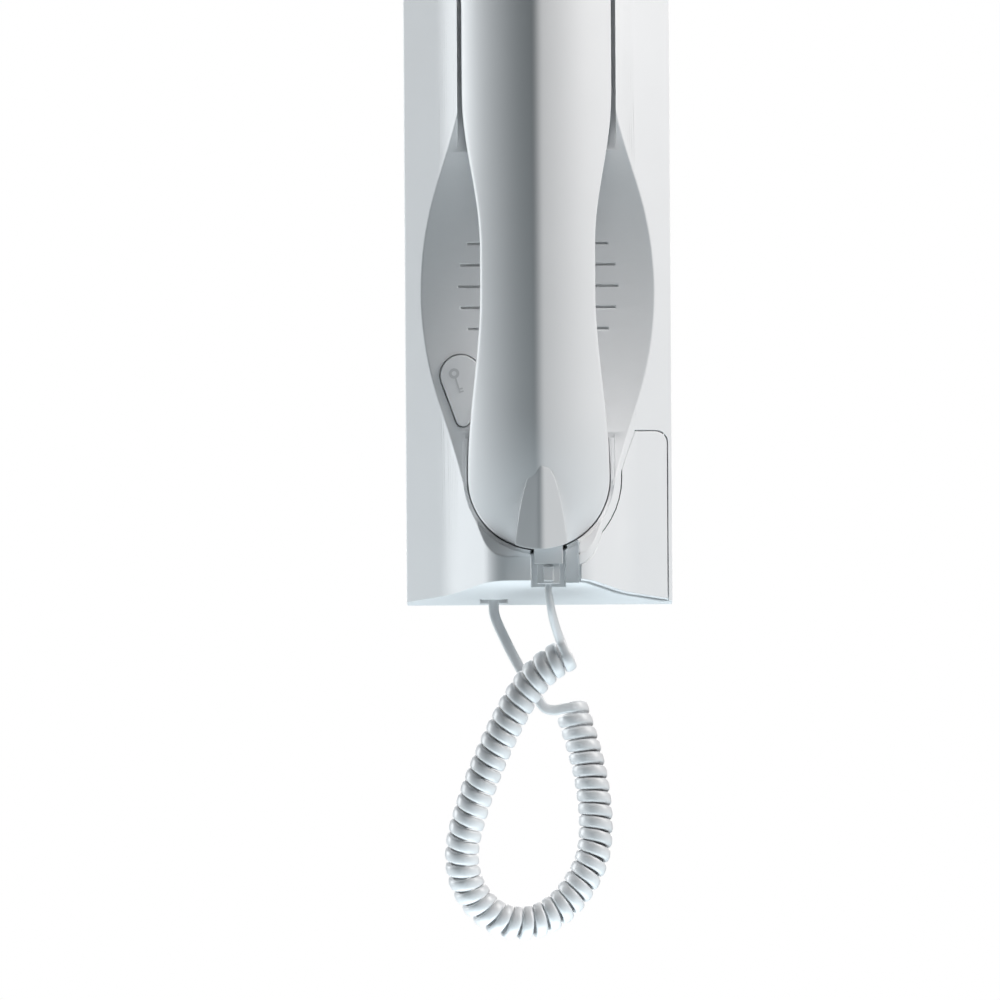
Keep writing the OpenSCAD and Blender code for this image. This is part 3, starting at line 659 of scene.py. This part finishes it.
def half_width(y):
    if y > EAR_Y:
        return EAR_W / 2
    if y > GRIP_TOP_Y:
        share = ease((y - GRIP_TOP_Y) / (EAR_Y - GRIP_TOP_Y))
        return (GRIP_W + (EAR_W - GRIP_W) * share) / 2
    if y > GRIP_LOW_Y:
        return GRIP_W / 2
    share = ease((GRIP_LOW_Y - y) / (GRIP_LOW_Y - MOUTH_Y))
    return (GRIP_W + (MOUTH_W - GRIP_W) * share) / 2


def profile_drop(x):
    """How far the front lies behind its ridge at a distance from the middle."""
    a = abs(x)
    ridge = RIDGE_R * math.sin(RIDGE_ANGLE)
    if a <= ridge:
        return RIDGE_R - math.sqrt(RIDGE_R ** 2 - a ** 2)
    slope = math.sin(RIDGE_ANGLE) + (a - ridge) / FRONT_R
    flank = FRONT_R * (math.cos(RIDGE_ANGLE) - math.sqrt(1 - slope ** 2))
    return RIDGE_R * (1 - math.cos(RIDGE_ANGLE)) + flank


def keel_drop(x):
    """How far the nose lies behind its ridge at a distance from the ridge."""
    a = abs(x)
    ridge = NOSE_KEEL_R * math.sin(NOSE_KEEL_ANGLE)
    if a <= ridge:
        return NOSE_KEEL_R - math.sqrt(NOSE_KEEL_R ** 2 - a ** 2)
    flank = (a - ridge) * math.tan(NOSE_KEEL_ANGLE)
    return NOSE_KEEL_R * (1 - math.cos(NOSE_KEEL_ANGLE)) + flank


def soft_max(a, b, soft):
    return (a + b + math.sqrt((a - b) ** 2 + soft ** 2)) / 2


def front_depth(x, y):
    depth = HANDSET_D - profile_drop(x)
    if y < BEND_Y:
        reach = BEND_R - profile_drop(x)
        depth = HANDSET_D - BEND_R + math.sqrt(reach ** 2 - (y - BEND_Y) ** 2)
    return depth


def rear_depth(x, y):
    inside = HOLLOW_R ** 2 - (y - GRIP_Y) ** 2
    if inside <= 0:
        return REAR_D
    return soft_max(REAR_D, GRIP_BACK - HOLLOW_R + math.sqrt(inside), REAR_BLEND)


def handset_row(depth_at, out, rim, kind, value):
    """Points across one shell, from the joint on the left over the face to the joint on the right."""
    reach = MOUTH_W / 2 if kind == "round" else half_width(EAR_Y if kind == "top" else value)

    def spot(t):
        if kind == "round":
            return t * reach * math.cos(value), MOUTH_Y - abs(t) * reach * math.sin(value)
        return t * reach, EAR_Y if kind == "top" else value

    def point(t, depth=None):
        x, y = spot(t)
        d = depth_at(x, y) if depth is None else depth
        if kind == "top":
            y = EAR_Y + (HANDSET_TOP + (HANDSET_D - d) * TOP_SLANT - EAR_Y) * value
        return np.array([x, y, d])

    def edge(side):
        inner = point(side * (1 - rim / reach))
        corner = point(side)
        wall = point(side, corner[2] - out * rim)
        curve = [
            (1 - t) ** 2 * inner + 2 * t * (1 - t) * corner + t ** 2 * wall
            for t in np.linspace(0, 1, RIM_STEPS + 1)[1:]
        ]
        seam = point(side, PARTING_D + out * SEAM)
        return curve + [seam, point(side * (1 - SEAM / reach), PARTING_D)]

    face = [point(t * (1 - rim / reach)) for t in np.linspace(-1, 1, 2 * FACE_STEPS + 1)]
    return edge(-1)[::-1] + face + edge(1)


def handset_shell(name, depth_at, out, rim):
    rows = [("top", v) for v in np.linspace(1, 0, TOP_ROWS)[:-1]]
    rows += [("level", y) for y in np.linspace(EAR_Y, MOUTH_Y, LEVEL_ROWS)]
    rows += [("round", a) for a in np.linspace(0, math.pi / 2, ROUND_ROWS)[1:]]
    bm = bmesh.new()
    grid = [
        [bm.verts.new(place(*p)) for p in handset_row(depth_at, out, rim, *row)] for row in rows
    ]
    skin(bm, grid)
    weight = bm.edges.layers.float.new("bevel_weight_edge")
    lid = bm.faces.new(grid[0])
    for e in lid.edges:
        if len(e.link_faces) > 1:
            e[weight] = 1
    bmesh.ops.remove_doubles(bm, verts=bm.verts, dist=WELD)
    bmesh.ops.dissolve_degenerate(bm, edges=bm.edges, dist=1e-7)
    bmesh.ops.recalc_face_normals(bm, faces=bm.faces)
    grip = place(0, GRIP_Y, depth_at(0, GRIP_Y))
    middle = min(bm.faces, key=lambda f: (f.calc_center_median() - grip).length)
    if middle.normal.y * out > 0:
        bmesh.ops.reverse_faces(bm, faces=bm.faces)
    obj = object_from(name, bm)
    roll = obj.modifiers.new("top_edge", "BEVEL")
    roll.limit_method = "WEIGHT"
    roll.width = TOP_EDGE * MM
    roll.segments = 4
    roll.use_clamp_overlap = False
    thick = obj.modifiers.new("shell", "SOLIDIFY")
    thick.thickness = SHELL * MM
    thick.offset = -1
    bake(obj)
    return obj


def nose_row(v, turn=0):
    """Points across the nose at a share of its length, turned by an angle round its lower edge."""
    half = max(NOSE_HALF_W * v ** NOSE_ARCH, 0.02)
    edge = min(NOSE_EDGE, half / 2)
    drop = NOSE_EDGE * (1 - math.cos(turn))
    flank = [(t * (half - edge), 0) for t in np.linspace(-1, 1, NOSE_FLANK_STEPS)]
    right = [(half - edge + edge * math.sin(t), edge * (1 - math.cos(t))) for t in NOSE_EDGE_TURNS]
    left = [(-a, fall) for a, fall in right[::-1]]
    row = []
    for a, fall in left + flank + right:
        x = NOSE_X + a
        end = MOUTH_Y - math.sqrt((MOUTH_W / 2 - 0.1) ** 2 - x ** 2)
        y = NOSE_TOP_Y + (end + NOSE_EDGE - NOSE_TOP_Y) * v - NOSE_EDGE * math.sin(turn)
        row.append((x, y, NOSE_D - keel_drop(a) - max(fall, drop)))
    return row


def make_nose():
    """The keel under the mouth end: two flat flanks that end in an arch with upright sides."""
    rows = [nose_row(v) for v in np.linspace(0, 1, NOSE_ROWS)]
    rows += [nose_row(1, turn) for turn in NOSE_EDGE_TURNS]
    bm = bmesh.new()
    top = [[bm.verts.new(place(*p)) for p in row] for row in rows]
    low = [
        [bm.verts.new(place(x, y, min(front_depth(x, y), d) - NOSE_ROOT)) for x, y, d in row] for row in rows
    ]
    skin(bm, top)
    skin(bm, low)
    for k in (0, -1):
        skin(bm, [[row[k] for row in top], [row[k] for row in low]])
        skin(bm, [top[k], low[k]])
    return solid_from("handset_nose", bm)


def sound_holes(y, rings, step):
    """Centres of rings of holes round a middle one."""
    spots = [(0, y)]
    for k in range(1, rings + 1):
        for i in range(6 * k):
            turn = math.radians(60 * i / k)
            spots.append((k * step * math.cos(turn), y + k * step * math.sin(turn)))
    return spots


def make_handset():
    front = handset_shell("handset_front_shell", front_depth, 1, FRONT_RIM)
    rear = handset_shell("handset_rear_shell", rear_depth, -1, REAR_RIM)
    nose = make_nose()
    jack_low, jack_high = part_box("handset_jack")
    hole_low = (jack_low.x / MM - JACK_GAP, jack_low.z / MM - 10, PARTING_D - 5)
    hole_high = [v / MM + JACK_GAP for v in (jack_high.x, jack_high.z, -jack_low.y)]
    cut(front, brick("jack_hole", hole_low, hole_high), folded=True)
    cut(nose, brick("jack_hole", hole_low, hole_high))
    behind = REAR_D - 2
    cut(rear, pillars("ear_holes", sound_holes(EAR_HOLES_Y, 2, 4.2), 1, behind, REAR_D + 5))
    cut(rear, pillars("mouth_holes", sound_holes(MOUTH_HOLES_Y, 1, 3), 0.7, behind, REAR_D + 5))
    cut(rear, pillars("screw_holes", SCREW_HOLES, 2.8, behind, PARTING_D))
    for obj in (front, rear, nose):
        smooth(obj, 32)
        dress(obj, "handset_abs")
        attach(obj, "handset")
    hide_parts("handset_front")
    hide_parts("handset_rear")


make_handset()


# Lip that narrows the gap between the handset and its cradle

LIP_GAP = 0.45
LIP_OUTER_R = 25.4
LIP_H = 4
LIP_EDGE = 0.3
LIP_TOP_Y = -53.5
LIP_NOTCH = (68, 97)
LIP_ROWS = 10
LIP_SINK = 0.1
IN_FRONT = 200


def lip_path(side, angles):
    """The edge of the cradle from top to bottom: height, way out and reach of the handset."""
    path = [(y, side, 0, half_width(y)) for y in np.linspace(LIP_TOP_Y, MOUTH_Y, LIP_ROWS)[:-1]]
    for turn in np.radians(angles):
        path.append((MOUTH_Y, math.cos(turn), -math.sin(turn), MOUTH_W / 2))
    return path


def lip_ring(housing, y, out_x, out_y, reach):
    """The section of the lip, sunk a little into the face of the housing beside it."""
    beside = LIP_OUTER_R + LIP_SINK
    start = place(out_x * beside, y + out_y * beside, IN_FRONT)
    top = -housing.ray_cast(start, Vector((0, 1, 0)))[0].y / MM - LIP_SINK
    inner = reach + LIP_GAP
    section = (
        (LIP_OUTER_R, top - LIP_H), (LIP_OUTER_R, top), (inner + LIP_EDGE, top),
        (inner, top - LIP_EDGE), (inner, top - LIP_H),
    )
    return [(out_x * r, y + out_y * r, d) for r, d in section]


def make_lip():
    housing = BVHTree.FromObject(made["front_housing"], bpy.context.evaluated_depsgraph_get())
    right = lip_path(1, np.arange(0, LIP_NOTCH[0] + 1))
    left = lip_path(-1, np.arange(180, LIP_NOTCH[1] - 1, -1))
    bm = bmesh.new()
    for path in (right, left):
        tube(bm, [lip_ring(housing, *spot) for spot in path])
    lip = solid_from("cradle_lip", bm)
    smooth(lip, 50)
    dress(lip, "white_abs")
    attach(lip, "base")


make_lip()


# Solids that keep their own shape get their finish

for node, obj in frame["nodes"].items():
    if not obj.hide_render:
        dress(obj, SLOTS[node])


# Studio

AMBIENT = 0.03
NEUTRAL = (1, 0.98, 0.97)
COOL = (0.95, 0.98, 1)
BLUE = (0.85, 0.95, 1)
TARGET = (0, -10, 30)
# name, turn from the front to the right, rise, distance in m, width, height, watts, colour
LAMPS = [
    ("right_box", 77, 36, 1.1, 0.4, 0.9, 14.4, NEUTRAL),
    ("left_box", -107, 12, 1.1, 0.4, 0.9, 13, COOL),
    ("top_box", 0, 83, 1.1, 0.8, 0.4, 3, BLUE),
    ("low_box", 0, -80, 0.45, 0.5, 0.3, 2.3, BLUE),
    ("back_box", 180, 8, 1.2, 0.8, 0.8, 6, NEUTRAL),
]


def make_world():
    """White for rays that see the background, and a soft dim light for the rest."""
    world = bpy.data.worlds.new("studio")
    scene.world = world
    world.use_nodes = True
    nodes, links = world.node_tree.nodes, world.node_tree.links
    nodes.clear()
    rays = nodes.new("ShaderNodeLightPath")
    seen = nodes.new("ShaderNodeMath")
    seen.operation = "MAXIMUM"
    ambient = nodes.new("ShaderNodeBackground")
    ambient.inputs["Color"].default_value = (*BLUE, 1)
    ambient.inputs["Strength"].default_value = AMBIENT
    backdrop = nodes.new("ShaderNodeBackground")
    backdrop.inputs["Color"].default_value = (1, 1, 1, 1)
    backdrop.inputs["Strength"].default_value = 1
    mix = nodes.new("ShaderNodeMixShader")
    out = nodes.new("ShaderNodeOutputWorld")
    links.new(rays.outputs["Is Camera Ray"], seen.inputs[0])
    links.new(rays.outputs["Is Transmission Ray"], seen.inputs[1])
    links.new(seen.outputs["Value"], mix.inputs["Fac"])
    links.new(ambient.outputs["Background"], mix.inputs[1])
    links.new(backdrop.outputs["Background"], mix.inputs[2])
    links.new(mix.outputs["Shader"], out.inputs["Surface"])


def make_lamps():
    target = place(*TARGET)
    for name, turn, rise, distance, width, height, watts, colour in LAMPS:
        data = bpy.data.lights.new(name, "AREA")
        data.shape = "RECTANGLE"
        data.size, data.size_y = width, height
        data.energy = watts
        data.color = colour
        lamp = bpy.data.objects.new(name, data)
        a, e = math.radians(turn), math.radians(rise)
        away = Vector((
            math.sin(a) * math.cos(e), -math.cos(a) * math.cos(e), math.sin(e),
        ))
        lamp.location = target + away * distance
        lamp.rotation_euler = (-away).to_track_quat("-Z", "Y").to_euler()
        scene.collection.objects.link(lamp)


make_world()
make_lamps()
scene.view_settings.view_transform = "Standard"
